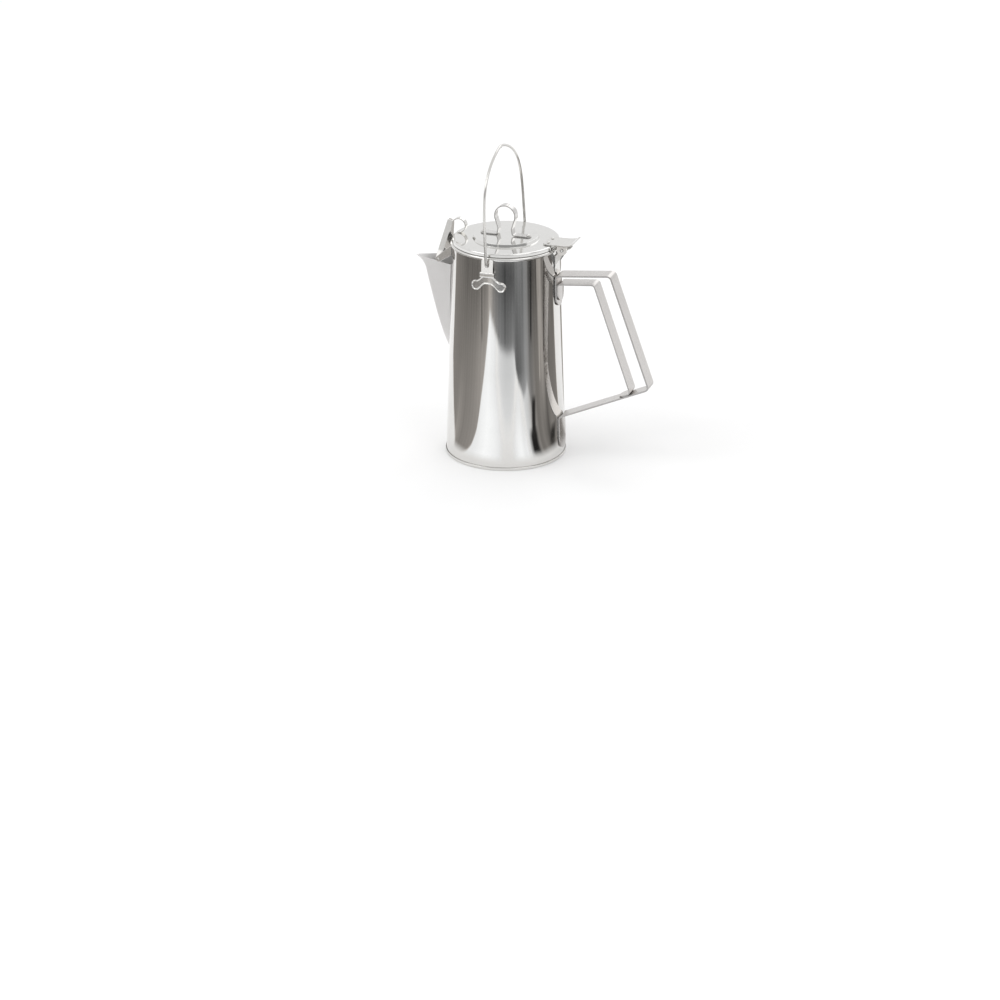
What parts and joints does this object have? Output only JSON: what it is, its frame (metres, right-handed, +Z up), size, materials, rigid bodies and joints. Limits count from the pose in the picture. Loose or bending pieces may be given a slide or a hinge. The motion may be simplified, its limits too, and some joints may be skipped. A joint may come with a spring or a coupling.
{
  "type": "coffee percolator",
  "caption": "Tapered steel camp coffee percolator with hinged lid, covered V spout, strap handle, wire bail and an inner pump and basket.",
  "frame": {"origin": "centre of the flat bottom, on the surface the pot stands on", "axes": "+Z up, +X towards the strap handle, -X towards the spout, bail pivots along Y"},
  "size_m": [0.2333, 0.116, 0.3029],
  "materials": {
    "mirror_steel": "mirror-polished stainless steel",
    "satin_steel": "satin stainless steel sheet",
    "wire_steel": "drawn stainless steel wire and rivets",
    "inner_steel": "plain stainless steel of the pump and basket"
  },
  "bodies": {
    "pot": {"pot_wall": "mirror_steel", "pot_base": "mirror_steel", "spout": "mirror_steel", "bail_ear_front": "satin_steel", "bail_ear_back": "satin_steel", "handle_outer_strap": "satin_steel", "handle_inner_strap": "satin_steel", "lid_hinge_bracket": "satin_steel", "lid_hinge_pin": "wire_steel", "cover_arm_front": "satin_steel", "cover_arm_back": "satin_steel", "spout_cover_pin": "wire_steel", "pump_bell": "inner_steel", "pump_tube": "inner_steel", "basket_collar": "inner_steel", "coffee_basket": "inner_steel", "basket_spreader": "inner_steel"},
    "bail_handle": {"bail": "wire_steel"},
    "lid": {"lid_shell": "mirror_steel", "lid_knob": "satin_steel", "knob_rivet_left": "wire_steel", "knob_rivet_right": "wire_steel", "thumb_lever": "satin_steel", "lever_rivet_front": "wire_steel", "lever_rivet_back": "wire_steel", "cover_rest_curl": "satin_steel"},
    "cover": {"spout_cover": "satin_steel"}
  },
  "joints": [
    {"name": "bail_swing", "type": "hinge", "parent": "pot", "child": "bail_handle", "pos_m": [0, 0, 0.2021], "axis": [0, 1, 0], "range_deg": [-120, 95]},
    {"name": "lid_hinge", "type": "hinge", "parent": "pot", "child": "lid", "pos_m": [0.058, 0, 0.2095], "axis": [0, 1, 0], "range_deg": [0, 105]},
    {"name": "cover_flip", "type": "hinge", "parent": "pot", "child": "cover", "pos_m": [-0.0604, 0, 0.1916], "axis": [0, -1, 0], "range_deg": [0, 101]}
  ]
}
